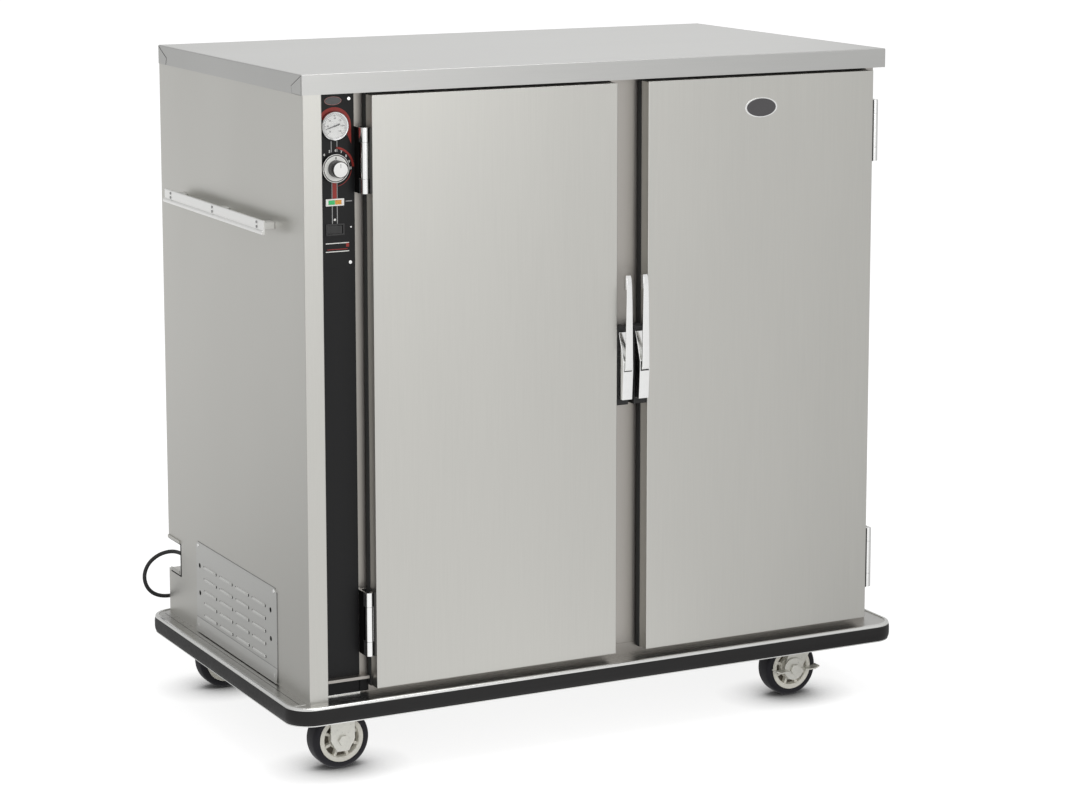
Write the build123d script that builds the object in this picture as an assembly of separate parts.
from build123d import *
import math
import os

# Heated transport cabinet: an insulated two-door cabinet on a bumpered caster base.
# Millimetres, +Z up, origin on the floor under the middle of the cabinet body.
# The doors face -Y and the push handle, controls and cord are at the -X end.

# Body
BODY_WIDTH = 1372.0
BODY_DEPTH = 818.0
BODY_HEIGHT = 1290.0
SHEET = 1.5
LINER_SHEET = 1.2
CAP_SKIRT = 41.0
FIT_GAP = 0.3

# Base
DECK_SHEET = 3.0
DECK_SIDE_LEDGE = 45.0
DECK_END_LEDGE = 26.0
DECK_CORNER_R = 55.0
CROSS_PLATE = 4.0
CROSS_WIDTH = 140.0
CROSS_FLANGE = 20.0
BUMPER_HEIGHT = 36.0
BUMPER_THICK = 8.0
BUMPER_ROUND = 3.0
CHANNEL_WEB = 2.0
CHANNEL_LIP = 7.0
LIP_RISE = 2.0

# Casters
CASTER_HEIGHT = 157.0
WHEEL_R = 63.5
WHEEL_WIDTH = 46.0
TYRE_DEPTH = 15.0
TYRE_ROUND = 7.5
HUB_RECESS = 7.0
HUB_RIM = 5.0
HUB_BOSS_R = 15.0
HUB_SLOTS = 10
HUB_SLOT_R = 3.5
HUB_SLOT_RING = 29.0
AXLE_R = 6.0
AXLE_HEAD_R = 11.5
AXLE_HEAD = 6.0
RUNNING_GAP = 0.05
CASTER_PLATE_X = 102.0
CASTER_PLATE_Y = 114.0
CASTER_PLATE = 4.0
FORK_SHEET = 4.0
FORK_SIDE_GAP = 3.0
FORK_LEG_WIDTH = 54.0
FORK_FOOT = 24.0
CROWN_HEIGHT = 10.0
KINGPIN_R = 7.0
RACEWAY_R = 32.0
RACEWAY = 6.0
PIN_HEAD_R = 12.0
PIN_HEAD = 4.0
CASTER_TRAIL = 38.0
RIGID_INSET_X = 95.0
RIGID_INSET_Y = 83.0
SWIVEL_INSET_X = 135.0
SWIVEL_INSET_Y = 98.0
BRAKE_DISC_R = 25.0
BRAKE_DISC = 4.0
BRAKE_WING_REACH = 56.0
BRAKE_WING_DEEP = 22.0
BRAKE_WING = 3.0
BRAKE_WING_RISE = 4.5
BRAKE_WING_ROOT = 20.0

# Doors and frame
DOOR_PAN = 30.0
DOOR_BOTTOM = 16.0
DOOR_TOP_GAP = 6.0
DOOR_LEFT_EDGE = 150.0
DOOR_RIGHT_EDGE = 29.0
DOOR_SPACE = 73.0
SEAL_DEPTH = 17.0
SEAL_WIDTH = 14.0
SEAL_INSET = 8.0
SEAL_LAND = 22.0
DOOR_SHEET = 1.2
POST_WIDTH = 41.0
STILE_BEHIND = 12.0
SILL_DROP = 1.0

# Hinges
HINGE_HEIGHT = 134.0
HINGE_KNUCKLE = 30.0
HINGE_R = 8.0
HINGE_PIN_R = 3.2
HINGE_BACK = 12.0
HINGE_OFF = 8.5
HINGE_LEAF = 3.0
HINGE_ARM = 4.0
HINGE_WEB_BACK = 22.0
HINGE_UPPER = 1111.0
HINGE_LOWER = 152.0

# Latches
LATCH_LOW = 557.0
LATCH_HIGH = 725.0
MAGNET_WIDTH = 30.0
MAGNET_FRONT = 5.0
MAGNET_BACK = 44.0
LATCH_WIDTH = 24.0
LATCH_SET = 16.5
LATCH_BASE = 572.0
LATCH_RAMP_TOP = 715.0
LATCH_RAMP_FOOT = 655.0
LATCH_NOSE = 19.0
LATCH_BASE_NOSE = 15.0
LEVER_FRONT = 24.4
LEVER_SHEET = 4.0
LEVER_WIDTH = 18.0
LEVER_TIP_WIDTH = 12.0
LEVER_TOP = 839.0
LEVER_ROLL_R = 10.4
LEVER_PIVOT_UP = 643.0
LEVER_PIN_R = 2.0
STRIKE_SHEET = 2.0

# Control column
PANEL_BACK = 47.0
PANEL_SHEET = 1.5
CONTROL_TALL = 354.0
CONTROL_TOP_GAP = 4.0
LIP_LOW = 32.0
LIP_HIGH = 38.0
LIP_FRONT = 28.0
COLUMN_WALL = 145.0
DIAL_SIDE = 86.5
THERMO_BELOW_HEAD = 64.5
THERMO_R = 29.5
THERMO_RIM = 4.0
THERMO_PROUD = 9.0
THERMO_DEEP = 28.0
NEEDLE_SHEET = 0.8
NEEDLE_ANGLE = 252.0
KNOB_BELOW_THERMO = 85.5
KNOB_SKIRT_R = 29.0
KNOB_CAP_R = 15.0
KNOB_FRONT = 12.0
KNOB_SKIRT_FRONT = 37.0
KNOB_SKIRT = 3.5
SHAFT_R = 3.0
THERMOSTAT_SIZE = 44.0
THERMOSTAT_DEEP = 32.0
LAMP_BELOW_KNOB = 69.2
LAMP_FRAME_X = 40.0
LAMP_FRAME_Z = 14.5
LAMP_X = 13.8
LAMP_Z = 8.8
LAMP_PITCH = 14.6
BEZEL_PROUD = 2.0
SWITCH_BELOW_LAMP = 55.5
SWITCH_X = 40.5
SWITCH_Z = 24.0
SWITCH_RIM = 3.5
SWITCH_DEEP = 24.0
ROCKER_TILT = 8.0
ROCKER_SIDE_GAP = 1.2
SCREW_HEAD_R = 4.0
SCREW_HEAD = 2.0
SCREW_INSET = 11.0

# Cavity and its fittings
BACK_FOAM = 46.5
POST_SECTION = 22.0
POST_DEEP = 14.0
SHELF_LEVELS = 3
SHELF_FIRST = 230.0
SHELF_PITCH = 320.0
SHELF_SHEET = 5.0
SHELF_RIM = 16.0
SHELF_BAR = 6.0
SHELF_SLOTS = 12
SHELF_CLEAR = 4.0
CLIP_HEIGHT = 12.0
POST_FROM_ENDS = 70.0

# Heater and blower
BLOWER_BACK = 400.0
BLOWER_UP = 130.0
MOTOR_R = 42.0
MOTOR_LONG = 84.0
FAN_R = 58.0
FAN_WIDE = 26.0
FAN_HUB_R = 10.0
FAN_BLADES = 14
FAN_STAND = 10.0
FAN_SHAFT_R = 4.0
ELEMENT_R = 4.0
ELEMENT_RING_R = 76.0
ELEMENT_END = 15.0
ELEMENT_PIN_R = 4.6
WALL_HOLE_GAP = 2.0

# Push handle
HANDLE_OFF = 38.5
HANDLE_BAR = 8.5
HANDLE_TALL = 29.0
HANDLE_FRONT = 130.0
HANDLE_LONG = 576.0
HANDLE_LOW = 956.0
HANDLE_GROOVE = 2.5
STANDOFF_WIDE = 28.0
STANDOFF_TALL = 14.0
STANDOFF_FROM_ENDS = 37.0
STANDOFF_RISE = 8.0

# Louvred panel
LOUVRE_FRONT = 171.0
LOUVRE_LONG = 469.0
LOUVRE_LOW = 2.0
LOUVRE_TALL = 203.0
LOUVRE_CREASE = 34.0
LOUVRE_SHEET = 1.4
LOUVRE_COLUMNS = 4
LOUVRE_ROWS = 5
LOUVRE_PITCH_Y = 95.0
LOUVRE_PITCH_Z = 27.5
LOUVRE_FIRST_Y = 271.0
LOUVRE_FIRST_Z = 46.0
LOUVRE_SLOT = 71.0
LOUVRE_HOOD = 5.0
LOUVRE_RISE = 10.0
LOUVRE_WALL = 0.9
LOUVRE_EDGE = 14.0
LOUVRE_HOLE_R = 3.5
LOUVRE_HOLE_FRONT = 34.0
LOUVRE_HOLE_REAR = 21.0
LOUVRE_HOLE_LOW = 91.0
LOUVRE_HOLE_HIGH = 153.0

# Cord pocket
POCKET_LONG = 74.0
POCKET_LOW = 103.0
POCKET_TALL = 71.0
POCKET_DEEP = 60.0

# Cord
CORD_R = 4.5
BEND_SHARE = 0.45
RELIEF_LONG = 40.0
RELIEF_R = 9.0
RELIEF_UP = 137.0
RELIEF_IN = 22.0
COIL_TURN_PITCH = 9.6
COIL_LAYER_PITCH = 9.6
COIL_HALF_TURNS_IN = 7
COIL_INNER_R = 36.0
PLUG_LONG = 46.0
PLUG_WIDE = 30.0
PLUG_HIGH = 26.0
PLUG_ROUND = 7.0
PLUG_TAIL = 56.0
BLADE_LONG = 17.0
BLADE_HIGH = 6.4
BLADE_THICK = 1.5
BLADE_SPACE = 12.7
EARTH_R = 2.4

# Worked out
LEFT = -BODY_WIDTH / 2
RIGHT = BODY_WIDTH / 2
FRONT = -BODY_DEPTH / 2
BACK = BODY_DEPTH / 2
DECK = CASTER_HEIGHT + CROSS_PLATE + DECK_SHEET
TOP = DECK + BODY_HEIGHT
CHANNEL_INSET = BUMPER_THICK + CHANNEL_WEB
FRAME_FRONT = FRONT + DOOR_PAN + SEAL_DEPTH
PANEL_FRONT = FRONT + PANEL_BACK - PANEL_SHEET
DOOR_HEIGHT = BODY_HEIGHT - CAP_SKIRT - DOOR_TOP_GAP - DOOR_BOTTOM
DOOR_WIDTH = (BODY_WIDTH - DOOR_LEFT_EDGE - DOOR_SPACE - DOOR_RIGHT_EDGE) / 2
DOOR_LEFTS = [LEFT + DOOR_LEFT_EDGE, LEFT + DOOR_LEFT_EDGE + DOOR_WIDTH + DOOR_SPACE]
LINER_LEFT = DOOR_LEFTS[0] + SEAL_LAND
LINER_RIGHT = DOOR_LEFTS[1] + DOOR_WIDTH - SEAL_LAND
LINER_FLOOR = DECK + DOOR_BOTTOM + SEAL_LAND
LINER_TOP = DECK + DOOR_BOTTOM + DOOR_HEIGHT - SEAL_LAND
LINER_BACK = BACK - SHEET - BACK_FOAM - LINER_SHEET
MID = DOOR_LEFTS[0] + DOOR_WIDTH + DOOR_SPACE / 2
DIAL_X = LEFT + DIAL_SIDE
CONTROL_HEAD = BODY_HEIGHT - CAP_SKIRT - CONTROL_TOP_GAP
CONTROL_FOOT = CONTROL_HEAD - CONTROL_TALL
THERMO_UP = CONTROL_HEAD - THERMO_BELOW_HEAD
KNOB_UP = THERMO_UP - KNOB_BELOW_THERMO
LAMP_UP = KNOB_UP - LAMP_BELOW_KNOB
SWITCH_UP = LAMP_UP - SWITCH_BELOW_LAMP
PANEL_LEFT = LEFT + POST_WIDTH + FIT_GAP
PANEL_RIGHT = DOOR_LEFTS[0] - HINGE_LEAF - HINGE_OFF - HINGE_R - FIT_GAP
POCKET_FRONT = BACK - POCKET_LONG
BLOWER_Y = FRONT + BLOWER_BACK
BLOWER_Z = DECK + BLOWER_UP
AXLE_Z = WHEEL_R
LEG_IN = WHEEL_WIDTH / 2 + FORK_SIDE_GAP
LEG_OUT = LEG_IN + FORK_SHEET
RIGID_X = LEFT + RIGID_INSET_X
SWIVEL_X = RIGHT - SWIVEL_INSET_X
RIGID_Y = [FRONT + RIGID_INSET_Y, BACK - RIGID_INSET_Y]
SWIVEL_Y = [FRONT + SWIVEL_INSET_Y, BACK - SWIVEL_INSET_Y]
ENDS = ["front", "rear"]
SIDES = ["left", "right"]


def block(x0, x1, y0, y1, z0, z1):
    """A box between two corners."""
    centre = Pos((x0 + x1) / 2, (y0 + y1) / 2, (z0 + z1) / 2)
    return centre * Box(abs(x1 - x0), abs(y1 - y0), abs(z1 - z0))


def rod_x(x0, x1, y, z, r):
    return Pos((x0 + x1) / 2, y, z) * Rot(0, 90, 0) * Cylinder(r, abs(x1 - x0))


def rod_y(x, y0, y1, z, r):
    return Pos(x, (y0 + y1) / 2, z) * Rot(90, 0, 0) * Cylinder(r, abs(y1 - y0))


def rod_z(x, y, z0, z1, r):
    return Pos(x, y, (z0 + z1) / 2) * Cylinder(r, abs(z1 - z0))


def prism_x(points, x0, x1):
    """A closed outline of (y, z) points, extruded from x0 to x1."""
    outline = Polyline(*[Vector(x0, y, z) for y, z in points], close=True)
    return extrude(make_face(outline), amount=x1 - x0, dir=(1, 0, 0))


def prism_y(points, y0, y1):
    """A closed outline of (x, z) points, extruded from y0 to y1."""
    outline = Polyline(*[Vector(x, y0, z) for x, z in points], close=True)
    return extrude(make_face(outline), amount=y1 - y0, dir=(0, 1, 0))


def group(*shapes):
    """Separate solids kept together in one node."""
    return Compound([solid for shape in shapes for solid in shape.solids()])


def save(name, shape):
    export_step(shape, os.path.join("parts", name + ".step"))


def deck_ring(inset, z0, z1):
    """The deck's rounded outline, moved inwards, as a slab."""
    wide = BODY_WIDTH + 2 * (DECK_SIDE_LEDGE - inset)
    deep = BODY_DEPTH + 2 * (DECK_END_LEDGE - inset)
    outline = RectangleRounded(wide, deep, DECK_CORNER_R - inset)
    return Pos(0, 0, z0) * extrude(outline, amount=z1 - z0)


# Base

def base_deck():
    """Welded deck: a plate with a rim turned down, and two cross channels for the casters."""
    low = DECK - BUMPER_HEIGHT
    plate = deck_ring(CHANNEL_INSET, low, DECK)
    plate -= deck_ring(CHANNEL_INSET + DECK_SHEET, low, DECK - DECK_SHEET)
    reach = BODY_DEPTH / 2 + DECK_END_LEDGE - CHANNEL_INSET - DECK_SHEET
    under = DECK - DECK_SHEET
    for x in (RIGID_X, SWIVEL_X):
        x0, x1 = x - CROSS_WIDTH / 2, x + CROSS_WIDTH / 2
        plate += block(x0, x1, -reach, reach, under - CROSS_PLATE, under)
        for edge in (x0, x1 - CROSS_PLATE):
            plate += block(edge, edge + CROSS_PLATE, -reach, reach, under - CROSS_FLANGE, under)
    return plate


def bumper_channel():
    """Aluminium channel round the deck that holds the bumper, open outwards."""
    low = DECK - BUMPER_HEIGHT - CHANNEL_WEB
    high = DECK + LIP_RISE
    mouth = CHANNEL_INSET - CHANNEL_LIP
    ring = deck_ring(mouth, low, high) - deck_ring(CHANNEL_INSET, low, high)
    slot = deck_ring(0, low + CHANNEL_WEB, high - CHANNEL_WEB - LIP_RISE / 2)
    return ring - (slot - deck_ring(BUMPER_THICK, low, high))


def bumper():
    """Black bumper strip, rounded along its outer edges."""
    low = DECK - BUMPER_HEIGHT
    high = DECK - LIP_RISE / 2
    ring = deck_ring(0, low, high)
    edges = ring.edges().filter_by(Plane.XY)
    ring = fillet(edges, BUMPER_ROUND)
    return ring - deck_ring(BUMPER_THICK, low, high)


# Casters

def fork_leg(outline, y, side):
    return prism_y(outline, y + side * LEG_IN, y + side * LEG_OUT)


def axle_bolt(x, y):
    """Axle with a hexagon head at each end, outside the fork."""
    bolt = rod_y(x, y - LEG_OUT, y + LEG_OUT, AXLE_Z, AXLE_R)
    for side in (-1, 1):
        head = extrude(RegularPolygon(AXLE_HEAD_R, 6), amount=AXLE_HEAD)
        bolt += Pos(x, y + side * LEG_OUT, AXLE_Z) * Rot(90 * side * -1, 0, 0) * head
    return bolt


def rigid_caster(y):
    """Fixed fork with its mounting plate and axle."""
    half_x, half_y = CASTER_PLATE_X / 2, CASTER_PLATE_Y / 2
    plate_low = CASTER_HEIGHT - CASTER_PLATE
    fork = block(RIGID_X - half_x, RIGID_X + half_x, y - half_y, y + half_y, plate_low, CASTER_HEIGHT)
    half = FORK_LEG_WIDTH / 2
    foot = AXLE_Z - FORK_FOOT
    outline = [
        (RIGID_X - half, plate_low),
        (RIGID_X + half, plate_low),
        (RIGID_X + half, AXLE_Z),
        (RIGID_X + half / 2, foot),
        (RIGID_X - half / 2, foot),
        (RIGID_X - half, AXLE_Z),
    ]
    for side in (-1, 1):
        fork += fork_leg(outline, y, side)
    return fork + axle_bolt(RIGID_X, y)


def swivel_mount(y):
    """Top plate of a swivel caster, with its raceway and kingpin."""
    half_x, half_y = CASTER_PLATE_X / 2, CASTER_PLATE_Y / 2
    plate_low = CASTER_HEIGHT - CASTER_PLATE
    mount = block(SWIVEL_X - half_x, SWIVEL_X + half_x, y - half_y, y + half_y, plate_low, CASTER_HEIGHT)
    race_low = plate_low - RACEWAY
    mount += rod_z(SWIVEL_X, y, race_low, plate_low, RACEWAY_R)
    crown_low = race_low - FIT_GAP - CROWN_HEIGHT
    mount += rod_z(SWIVEL_X, y, crown_low - FIT_GAP, race_low, KINGPIN_R)
    return mount + rod_z(SWIVEL_X, y, crown_low - FIT_GAP - PIN_HEAD, crown_low - FIT_GAP, PIN_HEAD_R)


def swivel_fork(y):
    """Turning fork of a swivel caster, with the axle set back from the kingpin."""
    crown_high = CASTER_HEIGHT - CASTER_PLATE - RACEWAY - FIT_GAP
    crown_low = crown_high - CROWN_HEIGHT
    fork = rod_z(SWIVEL_X, y, crown_low, crown_high, RACEWAY_R)
    fork += block(SWIVEL_X - RACEWAY_R, SWIVEL_X, y - LEG_OUT, y + LEG_OUT, crown_low, crown_high)
    axle_x = SWIVEL_X - CASTER_TRAIL
    half = FORK_LEG_WIDTH / 2
    outline = [
        (SWIVEL_X - RACEWAY_R, crown_high),
        (SWIVEL_X + half, crown_high),
        (SWIVEL_X + half, crown_low),
        (axle_x + FORK_FOOT, AXLE_Z),
        (axle_x + FORK_FOOT / 2, AXLE_Z - FORK_FOOT),
        (axle_x - FORK_FOOT / 2, AXLE_Z - FORK_FOOT),
        (axle_x - FORK_FOOT, AXLE_Z),
    ]
    for side in (-1, 1):
        fork += fork_leg(outline, y, side)
    pin_room = KINGPIN_R + RUNNING_GAP
    fork -= rod_z(SWIVEL_X, y, crown_low, crown_high, pin_room)
    return fork + brake_axle(axle_x, y)


def brake_axle(x, y):
    """Axle of a braked caster: its outer shank also carries the brake pedal."""
    out = math.copysign(1.0, y)
    seat = LEG_OUT + BRAKE_DISC + 2 * FIT_GAP
    bolt = rod_y(x, y - out * LEG_OUT, y + out * seat, AXLE_Z, AXLE_R)
    for side, at in ((out, seat), (-out, LEG_OUT)):
        head = extrude(RegularPolygon(AXLE_HEAD_R, 6), amount=AXLE_HEAD)
        bolt += Pos(x, y + side * at, AXLE_Z) * Rot(-90 * side, 0, 0) * head
    return bolt


def brake_pedal(y):
    """Brake disc on the axle with a flat wing out to each side."""
    out = math.copysign(1.0, y)
    x = SWIVEL_X - CASTER_TRAIL
    near = y + out * (LEG_OUT + FIT_GAP)
    far = near + out * BRAKE_DISC
    edge = near + out * BRAKE_WING_DEEP
    pedal = rod_y(x, min(near, far), max(near, far), AXLE_Z, BRAKE_DISC_R)
    for side in (-1, 1):
        root = x + side * BRAKE_WING_ROOT
        tip = x + side * BRAKE_WING_REACH
        kink = tip - side * BRAKE_WING_DEEP / 2
        rise = BRAKE_WING_RISE
        low = AXLE_Z - BRAKE_WING / 2
        outline = [
            (root, low),
            (kink, low),
            (tip, low + rise),
            (tip, low + rise + BRAKE_WING),
            (kink, low + BRAKE_WING),
            (root, low + BRAKE_WING),
        ]
        pedal += prism_y(outline, min(near, edge), max(near, edge))
    return pedal - rod_y(x, min(near, far), max(near, far), AXLE_Z, AXLE_R + RUNNING_GAP)


def wheel_hub(x, y):
    """Moulded wheel centre: recessed web, boss and a ring of slots."""
    half = WHEEL_WIDTH / 2
    rim_r = WHEEL_R - TYRE_DEPTH
    hub = rod_y(x, y - half, y + half, AXLE_Z, rim_r)
    for side in (-1, 1):
        face = y + side * half
        floor = face - side * HUB_RECESS
        ring = rod_y(x, min(face, floor), max(face, floor), AXLE_Z, rim_r - HUB_RIM)
        hub -= ring - rod_y(x, y - half, y + half, AXLE_Z, HUB_BOSS_R)
    for number in range(HUB_SLOTS):
        turn = math.radians(360 / HUB_SLOTS * (number + 0.5))
        slot_x = x + HUB_SLOT_RING * math.cos(turn)
        slot_z = AXLE_Z + HUB_SLOT_RING * math.sin(turn)
        hub -= rod_y(slot_x, y - half, y + half, slot_z, HUB_SLOT_R)
    boss = LEG_IN - FIT_GAP
    hub += rod_y(x, y - boss, y + boss, AXLE_Z, HUB_BOSS_R)
    return hub - rod_y(x, y - boss, y + boss, AXLE_Z, AXLE_R + RUNNING_GAP)


def tyre(x, y):
    """Rubber tread round the wheel centre, rounded at its shoulders."""
    half = WHEEL_WIDTH / 2
    ring = rod_y(x, y - half, y + half, AXLE_Z, WHEEL_R)
    ring = fillet(ring.edges().filter_by(GeomType.CIRCLE), TYRE_ROUND)
    return ring - rod_y(x, y - half, y + half, AXLE_Z, WHEEL_R - TYRE_DEPTH)


# Casing

def top_cap():
    """Folded top: a sheet with skirts all round and a return under the front fascia."""
    x0, x1 = LEFT - SHEET, RIGHT + SHEET
    y1 = BACK + SHEET
    skirt_low = TOP - CAP_SKIRT
    cap = block(x0, x1, FRONT, y1, skirt_low, TOP)
    cap -= block(LEFT, RIGHT, FRONT + SHEET, BACK, skirt_low, TOP - SHEET)
    return cap + block(LEFT + SHEET, RIGHT - SHEET, FRONT, FRAME_FRONT, skirt_low, skirt_low + SHEET)


def pocket_cut():
    """The corner notch for the cord pocket, open to the side and the back."""
    low = DECK + POCKET_LOW
    return block(LEFT - SHEET, LEFT + POCKET_DEEP, POCKET_FRONT, BACK + SHEET, low, low + POCKET_TALL)


def side_panel_left():
    """Left side sheet with the front post folded from it."""
    high = TOP - SHEET
    post_top = TOP - CAP_SKIRT
    panel = block(LEFT, LEFT + SHEET, FRONT, BACK, DECK, post_top)
    panel += block(LEFT, LEFT + SHEET, FRONT + SHEET, BACK, DECK, high)
    panel += block(LEFT, LEFT + POST_WIDTH, FRONT, FRONT + SHEET, DECK, post_top)
    edge = LEFT + POST_WIDTH
    panel += block(edge - SHEET, edge, FRONT, FRAME_FRONT, DECK, post_top)
    panel -= pocket_cut()
    vent_y0 = FRONT + LOUVRE_FRONT + LOUVRE_EDGE
    vent_y1 = FRONT + LOUVRE_FRONT + LOUVRE_LONG - LOUVRE_EDGE
    vent_z0 = DECK + LOUVRE_CREASE
    vent_z1 = DECK + LOUVRE_LOW + LOUVRE_TALL - LOUVRE_EDGE
    return panel - block(LEFT, LEFT + SHEET, vent_y0, vent_y1, vent_z0, vent_z1)


def side_panel_right():
    """Right side sheet, with a return behind the front frame."""
    high = TOP - SHEET
    start = FRAME_FRONT + SHEET
    panel = block(RIGHT - SHEET, RIGHT, start, BACK, DECK, high)
    return panel + block(RIGHT - POST_WIDTH / 2, RIGHT, start, start + SHEET, DECK, high)


def back_panel():
    """Back sheet with the cord pocket's walls folded into its corner."""
    panel = block(LEFT + SHEET, RIGHT - SHEET, BACK - SHEET, BACK, DECK, TOP - SHEET)
    low = DECK + POCKET_LOW
    high = low + POCKET_TALL
    inner = LEFT + POCKET_DEEP
    front = POCKET_FRONT - SHEET
    panel += block(LEFT + SHEET, inner + SHEET, front, BACK, low - SHEET, high + SHEET)
    return panel - pocket_cut()


def front_frame():
    """Face frame: stiles, head, mullion and sill round the two door openings."""
    x0 = PANEL_RIGHT - STILE_BEHIND
    frame = block(x0, RIGHT, FRAME_FRONT, FRAME_FRONT + SHEET, DECK, TOP - CAP_SKIRT)
    for left in DOOR_LEFTS:
        right = left + DOOR_WIDTH - SEAL_LAND
        frame -= block(left + SEAL_LAND, right, FRAME_FRONT, FRAME_FRONT + SHEET, LINER_FLOOR, LINER_TOP)
    wall = LEFT + COLUMN_WALL
    frame += block(wall, wall + SHEET, FRAME_FRONT, BACK - SHEET, DECK, TOP - CAP_SKIRT)
    frame -= element_holes(wall, wall + SHEET)
    sill_front = FRAME_FRONT - SHEET
    sill_top = DECK + DOOR_BOTTOM + SEAL_INSET - SILL_DROP
    frame += block(wall, RIGHT - SHEET, sill_front, FRAME_FRONT, DECK, sill_top)
    lip_x0 = LEFT + POST_WIDTH
    lip_y0 = FRONT + LIP_FRONT
    low, high = DECK + LIP_LOW, DECK + LIP_HIGH
    frame += block(lip_x0, wall, lip_y0, FRAME_FRONT, high - SHEET, high)
    return frame + block(lip_x0, wall, lip_y0, lip_y0 + SHEET, low, high)


def element_holes(x0, x1):
    """Ways through a wall for the fan shaft and the heater element's two ends."""
    holes = rod_x(x0, x1, BLOWER_Y, BLOWER_Z, FAN_SHAFT_R + WALL_HOLE_GAP)
    for side in (-1, 1):
        y = BLOWER_Y + side * ELEMENT_END
        z = BLOWER_Z - math.sqrt(ELEMENT_RING_R ** 2 - ELEMENT_END ** 2)
        holes += rod_x(x0, x1, y, z, ELEMENT_R + WALL_HOLE_GAP)
    return holes


def inner_liner():
    """Cavity lining, open at the front."""
    t = LINER_SHEET
    y0 = FRAME_FRONT + SHEET
    liner = block(LINER_LEFT - t, LINER_RIGHT + t, y0, LINER_BACK + t, LINER_FLOOR - t, LINER_TOP + t)
    liner -= block(LINER_LEFT, LINER_RIGHT, y0, LINER_BACK, LINER_FLOOR, LINER_TOP)
    return liner - element_holes(LINER_LEFT - t, LINER_LEFT)


def insulation():
    """Mineral wool slabs between the lining and the outer sheets."""
    t = LINER_SHEET
    y0, y1 = FRAME_FRONT + 2 * SHEET, LINER_BACK + t
    wall = LEFT + COLUMN_WALL + SHEET
    left = block(wall, LINER_LEFT - t, y0, y1, LINER_FLOOR - t, LINER_TOP + t)
    left -= element_holes(wall, LINER_LEFT - t)
    right = block(LINER_RIGHT + t, RIGHT - SHEET, y0, y1, LINER_FLOOR - t, LINER_TOP + t)
    floor = block(wall, RIGHT - SHEET, y0, y1, DECK, LINER_FLOOR - t)
    roof = block(wall, RIGHT - SHEET, y0, y1, LINER_TOP + t, TOP - CAP_SKIRT)
    back = block(wall, RIGHT - SHEET, y1, BACK - SHEET, DECK, TOP - CAP_SKIRT)
    return group(left, right, floor, roof, back)


# Doors

def door_skin(left):
    """Door outer pan: front sheet and four turned edges."""
    z0 = DECK + DOOR_BOTTOM
    pan = block(left, left + DOOR_WIDTH, FRONT, FRONT + DOOR_PAN, z0, z0 + DOOR_HEIGHT)
    t = DOOR_SHEET
    back = FRONT + DOOR_PAN
    return pan - block(left + t, left + DOOR_WIDTH - t, FRONT + t, back, z0 + t, z0 + DOOR_HEIGHT - t)


def door_liner(left):
    """Door inner pan, fitted between the outer pan's edges, with its rim turned forwards."""
    t = DOOR_SHEET
    z0 = DECK + DOOR_BOTTOM + t
    z1 = z0 + DOOR_HEIGHT - 2 * t
    x0, x1 = left + t, left + DOOR_WIDTH - t
    y0, y1 = FRONT + DOOR_PAN / 2, FRONT + DOOR_PAN
    return block(x0, x1, y0, y1, z0, z1) - block(x0 + t, x1 - t, y0, y1 - t, z0 + t, z1 - t)


def door_gasket(left):
    """Door seal: four strips on the door's inner face that meet the frame."""
    z0 = DECK + DOOR_BOTTOM + SEAL_INSET
    z1 = DECK + DOOR_BOTTOM + DOOR_HEIGHT - SEAL_INSET
    x0, x1 = left + SEAL_INSET, left + DOOR_WIDTH - SEAL_INSET
    y0, y1 = FRONT + DOOR_PAN, FRAME_FRONT - FIT_GAP
    inner0, inner1 = x0 + SEAL_WIDTH, x1 - SEAL_WIDTH
    strips = [block(x0, inner0, y0, y1, z0, z1), block(inner1, x1, y0, y1, z0, z1)]
    for low in (z0, z1 - SEAL_WIDTH):
        strips.append(block(inner0 + FIT_GAP, inner1 - FIT_GAP, y0, y1, low, low + SEAL_WIDTH))
    return group(*strips)


def hinge_axis(side):
    """X of a door's hinge line: 0 for the left door, 1 for the right door."""
    if side == 0:
        return DOOR_LEFTS[0] - HINGE_LEAF - HINGE_OFF
    return DOOR_LEFTS[1] + DOOR_WIDTH + HINGE_LEAF + HINGE_OFF


def door_hinge_leaves(side):
    """Leaves on the door's edge, each with the middle knuckle."""
    axis = hinge_axis(side)
    hand = 1 if side == 0 else -1
    y = FRONT + HINGE_BACK
    leaves = []
    for up in (HINGE_LOWER, HINGE_UPPER):
        z0, z1 = DECK + up - HINGE_HEIGHT / 2, DECK + up + HINGE_HEIGHT / 2
        k0, k1 = z0 + HINGE_KNUCKLE + FIT_GAP, z1 - HINGE_KNUCKLE - FIT_GAP
        near = axis + hand * HINGE_OFF
        far = near + hand * HINGE_LEAF
        leaf = block(near, far, FRONT + HINGE_LEAF, FRONT + DOOR_PAN - HINGE_LEAF, z0, z1)
        leaf += block(axis, far, y - HINGE_LEAF, y + HINGE_LEAF, k0, k1)
        leaf += rod_z(axis, y, k0, k1, HINGE_R)
        leaves.append(leaf - rod_z(axis, y, k0, k1, HINGE_PIN_R + RUNNING_GAP))
    return group(*leaves)


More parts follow.
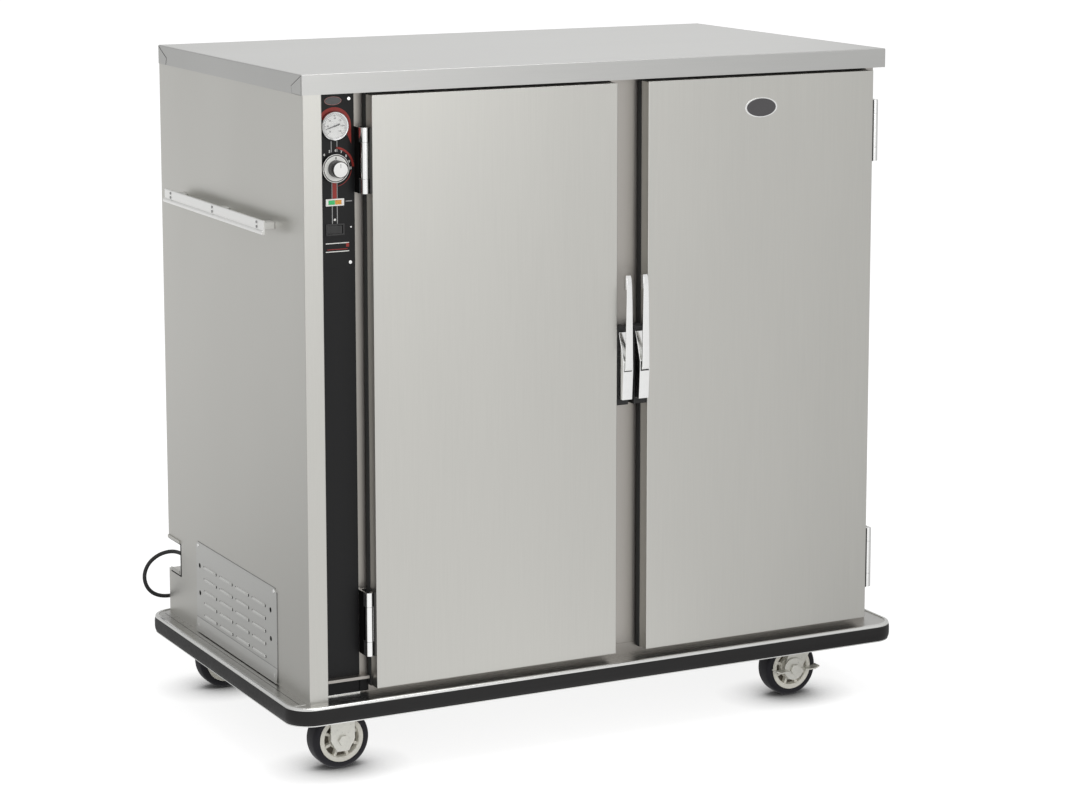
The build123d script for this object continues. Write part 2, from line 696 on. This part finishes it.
def hinge_frame_leaves():
    """Fixed hinge halves with their pins: outer knuckles, arms back to the frame and a foot."""
    leaves = []
    for side in (0, 1):
        axis = hinge_axis(side)
        hand = 1 if side == 0 else -1
        y = FRONT + HINGE_BACK
        arm0 = axis - hand * HINGE_R
        arm1 = arm0 + hand * HINGE_ARM
        foot = axis + hand * HINGE_OFF
        for up in (HINGE_LOWER, HINGE_UPPER):
            z0, z1 = DECK + up - HINGE_HEIGHT / 2, DECK + up + HINGE_HEIGHT / 2
            web_y = FRONT + HINGE_WEB_BACK
            leaf = block(arm0, arm1, web_y, FRAME_FRONT, z0, z1)
            leaf += block(arm0, foot, FRAME_FRONT - HINGE_LEAF, FRAME_FRONT, z0, z1)
            for k0, k1 in ((z0, z0 + HINGE_KNUCKLE), (z1 - HINGE_KNUCKLE, z1)):
                leaf += block(arm0, arm1, y, web_y, k0, k1)
                leaf += rod_z(axis, y, k0, k1, HINGE_R)
            leaves.append(leaf + rod_z(axis, y, z0, z1, HINGE_PIN_R))
    return group(*leaves)


def latch_side(side):
    """X of the door edge that carries a latch, and the direction away from the door."""
    if side == 0:
        return DOOR_LEFTS[0] + DOOR_WIDTH, 1
    return DOOR_LEFTS[1], -1


def latch_magnet(side):
    """Black latch block on the door's edge, reaching back to the strike."""
    edge, hand = latch_side(side)
    y0, y1 = FRONT + MAGNET_FRONT, FRONT + MAGNET_BACK
    housing = block(edge, edge + hand * MAGNET_WIDTH, y0, y1, DECK + LATCH_LOW, DECK + LATCH_HIGH)
    return chamfer(housing.edges().filter_by(Axis.X), LEVER_SHEET)


def latch_body(side):
    """Chromed latch base: a block with a ramp above, slotted for the lever's roll and its pin."""
    edge, hand = latch_side(side)
    centre = edge + hand * LATCH_SET
    x0, x1 = centre - LATCH_WIDTH / 2, centre + LATCH_WIDTH / 2
    back = FRONT + MAGNET_FRONT
    outline = [
        (back, DECK + LATCH_BASE),
        (FRONT - LATCH_BASE_NOSE, DECK + LATCH_BASE),
        (FRONT - LATCH_NOSE, DECK + LEVER_PIVOT_UP - LEVER_ROLL_R),
        (FRONT - LATCH_NOSE, DECK + LATCH_RAMP_FOOT),
        (back - LEVER_SHEET, DECK + LATCH_RAMP_TOP),
        (back, DECK + LATCH_RAMP_TOP),
    ]
    body = prism_x(outline, x0, x1)
    y, z = lever_pivot()
    room = LEVER_WIDTH / 2 + FIT_GAP
    roll_room = LEVER_ROLL_R + FIT_GAP
    body -= rod_x(centre - room, centre + room, y, z, roll_room)
    slot_back = FRONT - LEVER_FRONT + LEVER_SHEET + FIT_GAP
    body -= block(centre - room, centre + room, FRONT - LEVER_FRONT, slot_back, z, DECK + LATCH_RAMP_TOP)
    return body + rod_x(x0, x1, y, z, LEVER_PIN_R)


def lever_pivot():
    """Y and Z of the latch levers' pins."""
    return FRONT - LEVER_FRONT + LEVER_ROLL_R, DECK + LEVER_PIVOT_UP


def latch_lever(side):
    """Pull lever: a tapering strip with a rolled foot on the pin and a tip curled inwards."""
    edge, hand = latch_side(side)
    centre = edge + hand * LATCH_SET
    y, z = lever_pivot()
    face = FRONT - LEVER_FRONT
    top = DECK + LEVER_TOP
    curl = LEVER_SHEET * 4
    outline = [
        (face, z),
        (face, top - curl),
        (face + LEVER_SHEET / 2, top - curl / 3),
        (face + LEVER_SHEET * 1.5, top),
        (face + LEVER_SHEET * 2, top - LEVER_SHEET / 2),
        (face + LEVER_SHEET * 1.4, top - curl / 2),
        (face + LEVER_SHEET, top - curl * 1.5),
        (face + LEVER_SHEET, z),
    ]
    half, tip = LEVER_WIDTH / 2, LEVER_TIP_WIDTH / 2
    lever = prism_x(outline, centre - half, centre + half)
    low = z - LEVER_ROLL_R
    front_view = [
        (centre - half, low),
        (centre - half, DECK + LATCH_RAMP_TOP),
        (centre - tip, top - curl),
        (centre - tip / 2, top),
        (centre + tip / 2, top),
        (centre + tip, top - curl),
        (centre + half, DECK + LATCH_RAMP_TOP),
        (centre + half, low),
    ]
    lever &= prism_y(front_view, face, face + 2 * LEVER_ROLL_R)
    lever += rod_x(centre - half, centre + half, y, z, LEVER_ROLL_R)
    return lever - rod_x(centre - half, centre + half, y, z, LEVER_PIN_R + RUNNING_GAP)


def latch_strikes():
    """Steel strike plates on the mullion behind the latch blocks."""
    strikes = []
    for side in (0, 1):
        edge, hand = latch_side(side)
        x0 = edge + hand * LEVER_SHEET
        x1 = edge + hand * MAGNET_WIDTH
        z0, z1 = DECK + LATCH_BASE, DECK + LATCH_RAMP_TOP
        strikes.append(block(x0, x1, FRAME_FRONT - STRIKE_SHEET, FRAME_FRONT, z0, z1))
    return group(*strikes)


# Control column

def control_panel():
    """Black control plate, holed for the dials, lamps and switch."""
    z0, z1 = DECK + CONTROL_FOOT, DECK + CONTROL_HEAD
    y0, y1 = PANEL_FRONT, PANEL_FRONT + PANEL_SHEET
    plate = block(PANEL_LEFT, PANEL_RIGHT, y0, y1, z0, z1)
    plate -= rod_y(DIAL_X, y0, y1, DECK + THERMO_UP, THERMO_R - THERMO_RIM + FIT_GAP)
    plate -= rod_y(DIAL_X, y0, y1, DECK + KNOB_UP, SHAFT_R + WALL_HOLE_GAP)
    plate -= centred_block(LAMP_UP, LAMP_FRAME_X - SWITCH_RIM, LAMP_FRAME_Z - SWITCH_RIM, y0, y1)
    return plate - centred_block(SWITCH_UP, SWITCH_X - SWITCH_RIM, SWITCH_Z - SWITCH_RIM, y0, y1)


def centred_block(up, wide, tall, y0, y1):
    """A block behind or in front of the control plate, centred on the dial line."""
    z = DECK + up
    return block(DIAL_X - wide / 2, DIAL_X + wide / 2, y0, y1, z - tall / 2, z + tall / 2)


def lower_panel():
    """Plain black cover under the controls, and the kick plate below the lip."""
    y0, y1 = PANEL_FRONT, PANEL_FRONT + PANEL_SHEET
    cover = block(PANEL_LEFT, PANEL_RIGHT, y0, y1, DECK + LIP_HIGH, DECK + CONTROL_FOOT)
    kick = block(PANEL_LEFT, PANEL_RIGHT, y0, y1, DECK, DECK + LIP_LOW)
    return group(cover, kick)


def thermometer_case():
    """Dial thermometer: bezel, dial face and the case behind the plate."""
    z = DECK + THERMO_UP
    rim = PANEL_FRONT - THERMO_PROUD
    inner = THERMO_R - THERMO_RIM
    case = rod_y(DIAL_X, rim, PANEL_FRONT, z, THERMO_R)
    case += rod_y(DIAL_X, PANEL_FRONT, PANEL_FRONT + THERMO_DEEP, z, inner)
    return case - rod_y(DIAL_X, rim, rim + THERMO_RIM, z, inner)


def thermometer_needle():
    """Needle with a broad tail, standing clear of the dial face."""
    z = DECK + THERMO_UP
    face = PANEL_FRONT - THERMO_PROUD + THERMO_RIM
    reach = THERMO_R - THERMO_RIM * 2
    tail = reach / 2
    y0 = face - 2 * NEEDLE_SHEET
    outline = [
        (DIAL_X - NEEDLE_SHEET / 2, z + reach),
        (DIAL_X + NEEDLE_SHEET / 2, z + reach),
        (DIAL_X + 2 * NEEDLE_SHEET, z - tail),
        (DIAL_X - 2 * NEEDLE_SHEET, z - tail),
    ]
    needle = prism_y(outline, y0, y0 + NEEDLE_SHEET)
    needle += rod_y(DIAL_X, y0 - NEEDLE_SHEET / 2, y0 + NEEDLE_SHEET, z, THERMO_RIM / 2)
    pivot = Axis((DIAL_X, 0, z), (0, 1, 0))
    return needle.rotate(pivot, NEEDLE_ANGLE)


def thermostat_body():
    """Thermostat behind the plate, with its spindle out through it."""
    back = PANEL_FRONT + PANEL_SHEET
    body = centred_block(KNOB_UP, THERMOSTAT_SIZE, THERMOSTAT_SIZE, back, back + THERMOSTAT_DEEP)
    z = DECK + KNOB_UP
    return body + rod_y(DIAL_X, FRONT + KNOB_FRONT + KNOB_SKIRT, back, z, SHAFT_R)


def thermostat_knob():
    """Control knob: a pale skirt and a raised grip with a pointer rib."""
    z = DECK + KNOB_UP
    cap_y = FRONT + KNOB_FRONT
    skirt_y = FRONT + KNOB_SKIRT_FRONT
    back = PANEL_FRONT - FIT_GAP
    knob = rod_y(DIAL_X, skirt_y, skirt_y + KNOB_SKIRT, z, KNOB_SKIRT_R)
    knob += rod_y(DIAL_X, cap_y, back, z, KNOB_CAP_R)
    knob = chamfer(knob.edges().group_by(Axis.Y)[0], SHAFT_R / 2)
    rib = SHAFT_R / 2
    knob += block(DIAL_X - rib, DIAL_X + rib, cap_y - rib, cap_y, z - rib, z + KNOB_CAP_R - rib)
    return knob - rod_y(DIAL_X, cap_y + KNOB_SKIRT - FIT_GAP, back, z, SHAFT_R + RUNNING_GAP)


def indicator_lamps():
    """Lamp frame on the plate with two square lenses."""
    y0 = PANEL_FRONT - BEZEL_PROUD
    frame = centred_block(LAMP_UP, LAMP_FRAME_X, LAMP_FRAME_Z, y0, PANEL_FRONT)
    lenses = []
    for side in (-1, 1):
        x = DIAL_X + side * LAMP_PITCH / 2
        z = DECK + LAMP_UP
        x0, x1, z0, z1 = x - LAMP_X / 2, x + LAMP_X / 2, z - LAMP_Z / 2, z + LAMP_Z / 2
        frame -= block(x0, x1, y0, PANEL_FRONT, z0, z1)
        lenses.append(block(x0, x1, y0 - BEZEL_PROUD / 2, PANEL_FRONT + SWITCH_DEEP / 2, z0, z1))
    return group(frame, *lenses)


def switch_frame():
    """Switch housing: a rim on the plate and a box behind it."""
    y0 = PANEL_FRONT - BEZEL_PROUD
    back = PANEL_FRONT + SWITCH_DEEP
    wide, tall = SWITCH_X - SWITCH_RIM - FIT_GAP, SWITCH_Z - SWITCH_RIM - FIT_GAP
    frame = centred_block(SWITCH_UP, SWITCH_X, SWITCH_Z, y0, PANEL_FRONT)
    frame += centred_block(SWITCH_UP, wide, tall, PANEL_FRONT, back)
    room_x, room_z = SWITCH_X - 2 * SWITCH_RIM, SWITCH_Z - 2 * SWITCH_RIM
    return frame - centred_block(SWITCH_UP, room_x, room_z, y0, back - SWITCH_RIM)


def switch_rocker():
    """Rocker, resting tilted to one side."""
    wide = SWITCH_X - 2 * SWITCH_RIM - 2 * ROCKER_SIDE_GAP
    tall = SWITCH_Z - 2 * SWITCH_RIM - 2 * FIT_GAP
    y0 = PANEL_FRONT - BEZEL_PROUD - FIT_GAP
    depth = SWITCH_DEEP / 3
    rocker = centred_block(SWITCH_UP, wide, tall, y0, y0 + depth)
    dip = math.tan(math.radians(ROCKER_TILT)) * wide / 2
    rear = [(wide / 2, 0.0), (wide / 2, depth), (wide / 6, depth)]
    for side in (-1, 1):
        points = [(DIAL_X + side * x, y0 + y) for x, y in rear]
        outline = Polyline(*[Vector(x, y, DECK + SWITCH_UP - tall / 2) for x, y in points], close=True)
        rocker -= extrude(make_face(outline), amount=tall, dir=(0, 0, 1))
    z = DECK + SWITCH_UP
    rocker -= rod_z(DIAL_X, y0 - wide * 2, z - tall, z + tall, wide * 2 + dip / 2)
    pivot = Axis((DIAL_X, y0 + depth, DECK + SWITCH_UP), (0, 0, 1))
    return rocker.rotate(pivot, -ROCKER_TILT)


def screw_y(x, z, face):
    """Pan head screw with its head on a face turned towards -Y."""
    head = rod_y(x, face - SCREW_HEAD, face, z, SCREW_HEAD_R)
    return chamfer(head.edges().group_by(Axis.Y)[0], SCREW_HEAD / 2)


def screw_x(y, z, face):
    """Pan head screw with its head on a face turned towards -X."""
    head = rod_x(face - SCREW_HEAD, face, y, z, SCREW_HEAD_R)
    return chamfer(head.edges().group_by(Axis.X)[0], SCREW_HEAD / 2)


def cover_screws():
    """Heads of the screws of the control plate and the louvred panel."""
    screws = []
    for x in (PANEL_LEFT + SCREW_INSET, PANEL_RIGHT - SCREW_INSET):
        for z in (DECK + CONTROL_FOOT + SCREW_INSET, DECK + CONTROL_HEAD - SCREW_INSET):
            screws.append(screw_y(x, z, PANEL_FRONT))
    low = DECK + LOUVRE_LOW + LOUVRE_EDGE
    high = DECK + LOUVRE_LOW + LOUVRE_TALL - LOUVRE_EDGE / 2
    for y in (FRONT + LOUVRE_FRONT + LOUVRE_EDGE, FRONT + LOUVRE_FRONT + LOUVRE_LONG - LOUVRE_EDGE):
        for z in (low, high):
            screws.append(screw_x(y, z, LEFT - LOUVRE_SHEET))
    return group(*screws)


# Cavity fittings

def post_places():
    """X and Y of the slotted uprights: two at each wall and two in the middle."""
    fronts = (FRAME_FRONT + POST_FROM_ENDS, LINER_BACK - POST_FROM_ENDS)
    half = POST_DEEP / 2
    return [(x, y) for x in (LINER_LEFT + half, MID, LINER_RIGHT - half) for y in fronts]


def shelf_height(level):
    return DECK + SHELF_FIRST + SHELF_PITCH * level


def shelf_posts():
    """Uprights with a clip at each shelf level on each side that carries a shelf."""
    posts = []
    for x, y in post_places():
        half_x, half_y = POST_DEEP / 2, POST_SECTION / 2
        post = block(x - half_x, x + half_x, y - half_y, y + half_y, LINER_FLOOR, LINER_TOP)
        for level in range(SHELF_LEVELS):
            z = shelf_height(level)
            for side in (-1, 1):
                if abs(x + side * POST_SECTION) > abs(x) and x != MID:
                    continue
                clip_x = x + side * (half_x + SHELF_RIM)
                post += block(x, clip_x, y - half_y, y + half_y, z - CLIP_HEIGHT, z)
        posts.append(post)
    return group(*posts)


def shelf(x0, x1, z):
    """Wire shelf: a rim and a row of bars."""
    y0 = FRAME_FRONT + SHEET + SHELF_RIM
    y1 = LINER_BACK - SHELF_RIM
    tray = block(x0, x1, y0, y1, z, z + SHELF_SHEET)
    pitch = (x1 - x0 - SHELF_RIM) / SHELF_SLOTS
    for number in range(SHELF_SLOTS):
        slot_x0 = x0 + SHELF_RIM / 2 + pitch * number + SHELF_BAR / 2
        slot_x1 = slot_x0 + pitch - SHELF_BAR
        tray -= block(slot_x0, slot_x1, y0 + SHELF_RIM, y1 - SHELF_RIM, z, z + SHELF_SHEET)
    return tray


def wire_shelves():
    """Three shelves in each bay, resting on the clips."""
    half = POST_DEEP / 2
    shelves = []
    for level in range(SHELF_LEVELS):
        z = shelf_height(level)
        shelves.append(shelf(LINER_LEFT + POST_DEEP + SHELF_CLEAR, MID - half - SHELF_CLEAR, z))
        shelves.append(shelf(MID + half + SHELF_CLEAR, LINER_RIGHT - POST_DEEP - SHELF_CLEAR, z))
    return group(*shelves)


def blower_motor():
    """Blower motor on the column wall, with a bore for the fan's shaft."""
    wall = LEFT + COLUMN_WALL
    motor = rod_x(wall - MOTOR_LONG, wall - FAN_STAND, BLOWER_Y, BLOWER_Z, MOTOR_R)
    flange = MOTOR_R + FAN_STAND
    y0, y1 = BLOWER_Y - flange, BLOWER_Y + flange
    motor += block(wall - FAN_STAND, wall, y0, y1, BLOWER_Z - MOTOR_R, BLOWER_Z + MOTOR_R)
    return motor - rod_x(wall - MOTOR_LONG / 2, wall, BLOWER_Y, BLOWER_Z, FAN_SHAFT_R + RUNNING_GAP)


def blower_fan():
    """Fan wheel in the cavity on its shaft: a disc, a hub and straight blades."""
    disc_x = LINER_LEFT + FAN_STAND
    tip = disc_x + FAN_WIDE
    fan = rod_x(disc_x, disc_x + LINER_SHEET, BLOWER_Y, BLOWER_Z, FAN_R)
    fan += rod_x(disc_x, tip, BLOWER_Y, BLOWER_Z, FAN_HUB_R)
    y0, y1 = BLOWER_Y - LINER_SHEET / 2, BLOWER_Y + LINER_SHEET / 2
    blade = block(disc_x, tip, y0, y1, BLOWER_Z + FAN_R / 2, BLOWER_Z + FAN_R)
    spindle = Axis((disc_x, BLOWER_Y, BLOWER_Z), (1, 0, 0))
    for number in range(FAN_BLADES):
        fan += blade.rotate(spindle, 360 / FAN_BLADES * number)
    start = LEFT + COLUMN_WALL - MOTOR_LONG / 2 + FIT_GAP
    return fan + rod_x(start, disc_x, BLOWER_Y, BLOWER_Z, FAN_SHAFT_R)


def heater_element():
    """Sheathed element: a ring round the fan, with thicker cold ends through the wall."""
    x = LINER_LEFT + FAN_STAND + FAN_WIDE / 2
    drop = math.sqrt(ELEMENT_RING_R ** 2 - ELEMENT_END ** 2)
    left = Vector(x, BLOWER_Y - ELEMENT_END, BLOWER_Z - drop)
    right = Vector(x, BLOWER_Y + ELEMENT_END, BLOWER_Z - drop)
    crown = Vector(x, BLOWER_Y, BLOWER_Z + ELEMENT_RING_R)
    ring = ThreePointArc(left, crown, right)
    section = Plane(origin=left, z_dir=ring.tangent_at(0)) * Circle(ELEMENT_R)
    element = sweep(section, path=ring)
    for end in (left, right):
        element += rod_x(LEFT + COLUMN_WALL - FAN_STAND, x, end.Y, end.Z, ELEMENT_PIN_R)
    return element


# Outside fittings

def push_handle():
    """Extruded bar with a groove along its foot, on three stand-offs."""
    x0, x1 = LEFT - HANDLE_OFF, LEFT - HANDLE_OFF + HANDLE_BAR
    y0, y1 = FRONT + HANDLE_FRONT, FRONT + HANDLE_FRONT + HANDLE_LONG
    z0 = DECK + HANDLE_LOW
    bar = block(x0, x1, y0, y1, z0, z0 + HANDLE_TALL)
    groove = HANDLE_GROOVE
    bar -= block(x0, x0 + groove, y0, y1, z0 + STANDOFF_RISE - groove, z0 + STANDOFF_RISE)
    pieces = [bar]
    span = HANDLE_LONG - 2 * STANDOFF_FROM_ENDS
    for number in range(3):
        y = y0 + STANDOFF_FROM_ENDS + span / 2 * number
        low = z0 + STANDOFF_RISE
        half = STANDOFF_WIDE / 2
        pieces.append(block(x1, LEFT, y - half, y + half, low, low + STANDOFF_TALL))
    return group(*pieces)


def louvre(y, z):
    """One raised hood, closed at its ends and open underneath."""
    face = LEFT - LOUVRE_SHEET
    y0, y1 = y - LOUVRE_SLOT / 2, y + LOUVRE_SLOT / 2
    top, low = z + LOUVRE_RISE / 2, z - LOUVRE_RISE / 2
    hood = prism_x_wedge(face, face - LOUVRE_HOOD, low, top, y0, y1)
    t = LOUVRE_WALL
    return hood, prism_x_wedge(face, face - LOUVRE_HOOD + t, low - t, top - t, y0 + t, y1 - t)


def prism_x_wedge(face, nose, low, top, y0, y1):
    """A triangular wedge on the panel: full height at the face, sloping out to a low nose."""
    outline = Polyline((face, y0, low), (nose, y0, low), (face, y0, top), close=True)
    return extrude(make_face(outline), amount=y1 - y0, dir=(0, 1, 0))


def louvre_panel():
    """Louvred cover over the blower motor, with a crease near its foot."""
    x0 = LEFT - LOUVRE_SHEET
    y0, y1 = FRONT + LOUVRE_FRONT, FRONT + LOUVRE_FRONT + LOUVRE_LONG
    z0 = DECK + LOUVRE_LOW
    panel = block(x0, LEFT, y0, y1, z0, z0 + LOUVRE_TALL)
    panel = chamfer(panel.edges().filter_by(Axis.X).group_by(Axis.Z)[-1], LOUVRE_EDGE / 2)
    panel -= block(x0, x0 + LOUVRE_SHEET / 4, y0, y1, z0, z0 + LOUVRE_CREASE)
    hoods, rooms = [], []
    for column in range(LOUVRE_COLUMNS):
        for row in range(LOUVRE_ROWS):
            y = FRONT + LOUVRE_FIRST_Y + LOUVRE_PITCH_Y * column
            z = DECK + LOUVRE_FIRST_Z + LOUVRE_PITCH_Z * row
            hood, room = louvre(y, z)
            hoods.append(hood)
            rooms.append(room)
            half = LOUVRE_SLOT / 2 - LOUVRE_WALL
            rise = LOUVRE_RISE / 2 - LOUVRE_WALL
            rooms.append(block(x0, LEFT, y - half, y + half, z - rise, z + rise))
    for y in (y0 + LOUVRE_HOLE_FRONT, y1 - LOUVRE_HOLE_REAR):
        for up in (LOUVRE_HOLE_LOW, LOUVRE_HOLE_HIGH):
            rooms.append(rod_x(x0, LEFT, y, DECK + up, LOUVRE_HOLE_R))
    return panel + hoods - rooms


# Cord

def strain_relief():
    """Tapered strain relief on the pocket's front wall."""
    start = POCKET_FRONT
    z = DECK + RELIEF_UP
    taper = Solid.make_cone(RELIEF_R, CORD_R + FIT_GAP * 2, RELIEF_LONG)
    return Pos(LEFT + RELIEF_IN, start, z) * Rot(-90, 0, 0) * taper


def cord_route():
    """Points of the free cord, from the strain relief to the coil, chosen by hand."""
    x, y, z = LEFT, FRONT, DECK
    exit_y = BACK - POCKET_LONG + RELIEF_LONG
    floor = CORD_R
    points = [
        (x + RELIEF_IN, exit_y, z + RELIEF_UP),
        (x + RELIEF_IN, exit_y + 30, z + RELIEF_UP),
        (x + 9, y + 839, z + 135),
        (x - 12, y + 855, z + 126),
        (x - 35, y + 858, z + 109),
        (x - 50, y + 850, z + 86),
        (x - 49, y + 844, z + 62),
        (x - 35, y + 844, z + 42),
        (x - 11, y + 847, z + 30),
        (x + 20, y + 852, z + 27),
        (x + 54, y + 860, z + 24),
        (x + 88, y + 868, z + 11),
        (x + 116, y + 874, z - 14),
        (x + 138, y + 878, z - 46),
        (x + 156, y + 882, z - 81),
        (x + 178, y + 888, z - 114),
        (x + 209, y + 894, z - 140),
        (x + 246, y + 898, floor + 8),
        (x + 284, y + 898, floor),
        (x + 320, y + 898, floor),
    ]
    return [Vector(*point) for point in points]


def tube_radii(points):
    """The largest radius that each corner's two runs allow, printed for the record."""
    radii = []
    for before, corner, after in zip(points, points[1:], points[2:]):
        run_in, run_out = corner - before, after - corner
        turn = math.radians(run_in.get_angle(run_out))
        radii.append(BEND_SHARE * min(run_in.length, run_out.length) / math.tan(turn / 2))
    print("cord radii", [round(radius, 1) for radius in radii])
    return radii


def report_tube(name, tube, path):
    """Print a tube's length, and its volume as a share of section times length."""
    ratio = tube.volume / (math.pi * CORD_R ** 2 * path.length)
    print(name, "length", round(path.length, 1), "volume ratio", round(ratio, 4))


def cord_lead():
    """Free cord from the strain relief round behind the cabinet and down to the floor."""
    points = cord_route()
    path = FilletPolyline(*points, radius=tube_radii(points))
    section = Plane(origin=points[0], z_dir=path.tangent_at(0)) * Circle(CORD_R)
    lead = sweep(section, path=path)
    report_tube("lead", lead, path)
    return lead


def coil_points():
    """Ends and tops of the coil's half turns: in along the floor, then out on the second layer."""
    start = cord_route()[-1]
    step = COIL_TURN_PITCH / 2
    outer = COIL_INNER_R + step * COIL_HALF_TURNS_IN
    straight = 2 * CORD_R
    entry = start + Vector(straight, 0, 0)
    points = [start, entry]
    arcs = []
    here, radius, side = entry, outer, 1
    total = 2 * COIL_HALF_TURNS_IN + 1
    for number in range(total):
        climb = COIL_LAYER_PITCH if number == COIL_HALF_TURNS_IN else 0.0
        there = here + Vector(0, side * 2 * radius, climb)
        crown = (here + there) * 0.5 + Vector(side * math.hypot(2 * radius, climb) / 2, 0, 0)
        arcs.append((here, crown, there))
        here, side = there, -side
        radius += -step if number < COIL_HALF_TURNS_IN else step
    points.append(here)
    return points, arcs, side


def cord_coil():
    """Put-away cord: one tube wound flat in two layers on the floor."""
    points, arcs, side = coil_points()
    start, entry, last = points
    edges = [Line(start, entry)]
    edges += [ThreePointArc(*arc) for arc in arcs]
    edges.append(Line(last, last + Vector(side * PLUG_TAIL, 0, 0)))
    path = Wire(edges)
    section = Plane(origin=start, z_dir=(1, 0, 0)) * Circle(CORD_R)
    coil = sweep(section, path=path)
    report_tube("coil", coil, path)
    print("coil least gap", round(least_gap(path), 2))
    return coil


def least_gap(path):
    """Smallest free space between stretches of the coil that aren't neighbours along it."""
    count = 900
    points = [path.position_at(number / count) for number in range(count + 1)]
    skip = math.ceil(6 * CORD_R / (path.length / count))
    least = path.length
    for first in range(0, count - skip):
        for second in range(first + skip, count + 1):
            least = min(least, (points[first] - points[second]).length)
    return least - 2 * CORD_R


def cord_plug():
    """Moulded plug at the coil's end, with two blades and an earth pin."""
    points, _, side = coil_points()
    start = points[-1] + Vector(side * PLUG_TAIL, 0, 0)
    neck = PLUG_LONG / 4
    y, z = start.Y, max(start.Z, PLUG_HIGH / 2)
    x0 = start.X
    grip0 = x0 + side * neck
    grip1 = x0 + side * PLUG_LONG
    half_y, half_z = PLUG_WIDE / 2, PLUG_HIGH / 2
    grip = block(grip0, grip1, y - half_y, y + half_y, z - half_z, z + half_z)
    grip = fillet(grip.edges().filter_by(Axis.X), PLUG_ROUND)
    plug = grip + rod_x(x0, grip0, y, start.Z, PLUG_ROUND)
    tip = grip1 + side * BLADE_LONG
    for hand in (-1, 1):
        blade_y = y + hand * BLADE_SPACE / 2
        half = BLADE_THICK / 2
        plug += block(grip1, tip, blade_y - half, blade_y + half, z, z + BLADE_HIGH)
    return plug + rod_x(min(grip1, tip), max(grip1, tip), y, z - BLADE_HIGH, EARTH_R)


def make_parts():
    save("base_deck", base_deck())
    save("bumper", bumper())
    save("bumper_channel", bumper_channel())
    save("top_cap", top_cap())
    save("side_panel_left", side_panel_left())
    save("side_panel_right", side_panel_right())
    save("back_panel", back_panel())
    save("inner_liner", inner_liner())
    save("insulation", insulation())
    save("front_frame", front_frame())
    save("control_panel", control_panel())
    save("lower_panel", lower_panel())
    save("thermometer_case", thermometer_case())
    save("thermometer_needle", thermometer_needle())
    save("thermostat_body", thermostat_body())
    save("thermostat_knob", thermostat_knob())
    save("indicator_lamps", indicator_lamps())
    save("switch_frame", switch_frame())
    save("switch_rocker", switch_rocker())
    save("cover_screws", cover_screws())
    save("heater_element", heater_element())
    save("blower_motor", blower_motor())
    save("blower_fan", blower_fan())
    save("push_handle", push_handle())
    save("louvre_panel", louvre_panel())
    save("strain_relief", strain_relief())
    save("cord_lead", cord_lead())
    save("cord_coil", cord_coil())
    save("cord_plug", cord_plug())
    save("shelf_posts", shelf_posts())
    save("wire_shelves", wire_shelves())
    save("hinge_frame_leaves", hinge_frame_leaves())
    save("latch_strikes", latch_strikes())
    mounts = [rigid_caster(y) for y in RIGID_Y] + [swivel_mount(y) for y in SWIVEL_Y]
    save("caster_mounts", group(*mounts))
    for side, name in enumerate(SIDES):
        left = DOOR_LEFTS[side]
        save("door_" + name + "_skin", door_skin(left))
        save("door_" + name + "_liner", door_liner(left))
        save("door_" + name + "_gasket", door_gasket(left))
        save("door_" + name + "_hinges", door_hinge_leaves(side))
        save("latch_" + name + "_body", latch_body(side))
        save("latch_" + name + "_magnet", latch_magnet(side))
        save("latch_" + name + "_lever", latch_lever(side))
    for number, name in enumerate(ENDS):
        y = SWIVEL_Y[number]
        axle_x = SWIVEL_X - CASTER_TRAIL
        save("swivel_fork_" + name, swivel_fork(y))
        save("brake_pedal_" + name, brake_pedal(y))
        save("swivel_hub_" + name, wheel_hub(axle_x, y))
        save("swivel_tyre_" + name, tyre(axle_x, y))
        save("rigid_hub_" + name, wheel_hub(RIGID_X, RIGID_Y[number]))
        save("rigid_tyre_" + name, tyre(RIGID_X, RIGID_Y[number]))


os.makedirs("parts", exist_ok=True)
make_parts()
